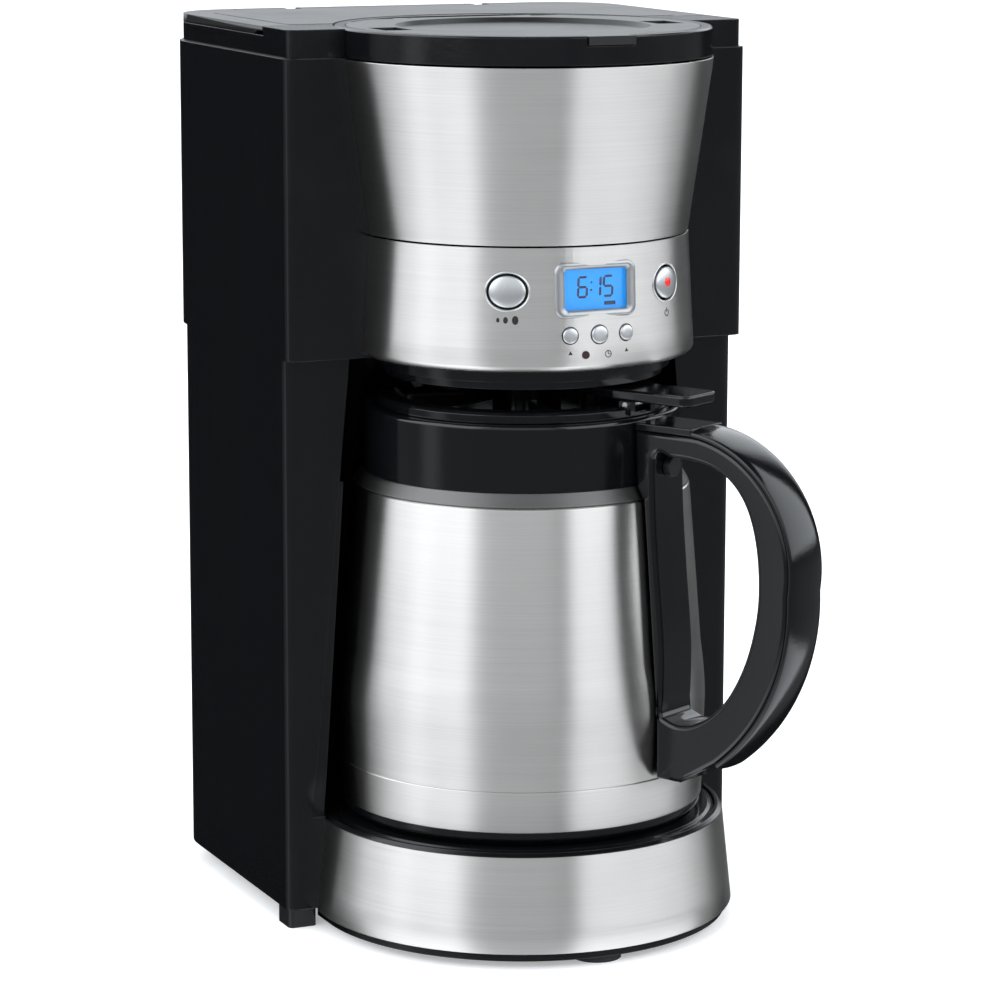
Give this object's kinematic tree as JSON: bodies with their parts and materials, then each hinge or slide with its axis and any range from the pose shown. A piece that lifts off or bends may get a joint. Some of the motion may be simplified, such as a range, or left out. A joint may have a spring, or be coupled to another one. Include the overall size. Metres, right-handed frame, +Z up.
{
  "type": "drip coffee maker",
  "caption": "Tall drip coffee maker with a black column, a steel brew head with a control band, a round steel-clad base and an insulated carafe with a loop handle.",
  "frame": {"origin": "on the table under the middle of the whole machine", "axes": "+Z up, -Y towards the person in front of the machine, +X to that person's right"},
  "size_m": [0.2034, 0.279, 0.368],
  "materials": {
    "satin_black": "fine satin black moulded plastic",
    "gloss_black": "polished near-black plastic",
    "steel": "horizontally brushed stainless steel",
    "ring_grey": "dark brushed metal",
    "silver": "silver coated plastic",
    "steel_pin": "bright turned steel",
    "rubber_black": "soft black rubber",
    "screen_glass": "clear window",
    "screen_blue": "lit blue liquid crystal panel",
    "lens_dark": "dark indicator lens",
    "board_green": "circuit board",
    "heater_metal": "cast aluminium heater tube",
    "clear_tank": "smoked tank plastic",
    "hose_silicone": "translucent silicone"
  },
  "bodies": {
    "machine": {"base_band": "steel", "base_plate": "gloss_black", "base_screws": "steel_pin", "base_shell": "gloss_black", "basket_lid_pin": "steel_pin", "carafe_platform": "gloss_black", "check_valve": "satin_black", "control_band": "steel", "control_board": "board_green", "cord_gland": "satin_black", "corner_feet": "satin_black", "drip_spring": "steel_pin", "feed_hose": "hose_silicone", "filter_basket": "satin_black", "front_foot": "rubber_black", "head_housing": "gloss_black", "heater_mount": "satin_black", "heater_tube": "heater_metal", "lid_ring": "gloss_black", "lower_housing": "gloss_black", "power_board": "board_green", "reservoir_lid_pin": "steel_pin", "riser_hose": "hose_silicone", "screen_bezel": "silver", "screen_panel": "screen_blue", "screen_window": "screen_glass", "shower_head": "satin_black", "splash_liner": "gloss_black", "status_lens": "lens_dark", "steel_cone": "steel", "tact_switches": "board_green", "tank_housing": "gloss_black", "thermal_fuse": "steel_pin", "thermostat": "steel_pin", "top_frame": "satin_black", "valve_cage": "satin_black", "water_tank": "clear_tank"},
    "drip_valve_plunger": {"drip_valve": "satin_black"},
    "basket_lid_flap": {"basket_lid": "satin_black"},
    "reservoir_lid_flap": {"reservoir_lid": "satin_black"},
    "strength_key": {"strength_button": "silver"},
    "power_key": {"power_button": "silver"},
    "hour_key": {"hour_button": "silver"},
    "program_key": {"program_button": "silver"},
    "minute_key": {"minute_button": "silver"},
    "carafe": {"carafe_shell": "steel", "carafe_liner": "steel", "carafe_foot": "gloss_black", "carafe_ring": "ring_grey", "carafe_collar": "gloss_black", "handle_body": "gloss_black", "handle_cover": "gloss_black", "handle_top_pad": "gloss_black", "handle_screw": "steel_pin"},
    "pour_lid": {"carafe_lid": "gloss_black", "lid_seal": "rubber_black", "lever_pin": "steel_pin"},
    "pour_plug": {"pour_valve": "satin_black"},
    "lever": {"thumb_lever": "gloss_black"}
  },
  "joints": [
    {"name": "basket_lid_hinge", "type": "hinge", "parent": "machine", "child": "basket_lid_flap", "pos_m": [0, 0.05133, 0.3638], "axis": [-1, 0, 0], "range_deg": [0, 98]},
    {"name": "reservoir_lid_hinge", "type": "hinge", "parent": "machine", "child": "reservoir_lid_flap", "pos_m": [0, 0.13403, 0.364], "axis": [-1, 0, 0], "range_deg": [0, 98]},
    {"name": "strength_press", "type": "slide", "parent": "machine", "child": "strength_key", "axis": [0.4909, 0.8712, 0], "range_m": [0, 0.0006], "stiffness_N_per_m": 900, "springref_m": -0.0006},
    {"name": "power_press", "type": "slide", "parent": "machine", "child": "power_key", "axis": [-0.5299, 0.848, 0], "range_m": [0, 0.0006], "stiffness_N_per_m": 900, "springref_m": -0.0006},
    {"name": "hour_press", "type": "slide", "parent": "machine", "child": "hour_key", "axis": [0.1513, 0.9885, 0], "range_m": [0, 0.0012], "stiffness_N_per_m": 900, "springref_m": -0.0006},
    {"name": "program_press", "type": "slide", "parent": "machine", "child": "program_key", "axis": [-0.0262, 0.9997, 0], "range_m": [0, 0.0012], "stiffness_N_per_m": 900, "springref_m": -0.0006},
    {"name": "minute_press", "type": "slide", "parent": "machine", "child": "minute_key", "axis": [-0.2028, 0.9792, 0], "range_m": [0, 0.0012], "stiffness_N_per_m": 900, "springref_m": -0.0006},
    {"name": "drip_valve_lift", "type": "slide", "parent": "machine", "child": "drip_valve_plunger", "axis": [0, 0, 1], "range_m": [0, 0.003], "stiffness_N_per_m": 120, "springref_m": -0.004, "deforming": ["drip_spring"]},
    {"name": "carafe_slide", "type": "slide", "parent": "machine", "child": "carafe", "axis": [0, -1, 0], "range_m": [0, 0.25]},
    {"name": "pour_lid_twist", "type": "hinge", "parent": "carafe", "child": "pour_lid", "pos_m": [0, -0.00947, 0.2145], "axis": [0, 0, 1], "range_deg": [0, 40]},
    {"name": "thumb_lever_press", "type": "hinge", "parent": "pour_lid", "child": "lever", "pos_m": [0.02723, -0.06068, 0.2194], "axis": [0.8829, 0.4695, 0], "range_deg": [0, 6], "stiffness_Nm_per_rad": 0.6, "springref_deg": -4.58},
    {"name": "pour_plug_lift", "type": "slide", "parent": "pour_lid", "child": "pour_plug", "axis": [0, 0, 1], "range_m": [0, 0.0021]}
  ],
  "couplings": [
    {"joint": "pour_plug_lift", "follows": "thumb_lever_press", "m_per_rad": 0.019}
  ]
}
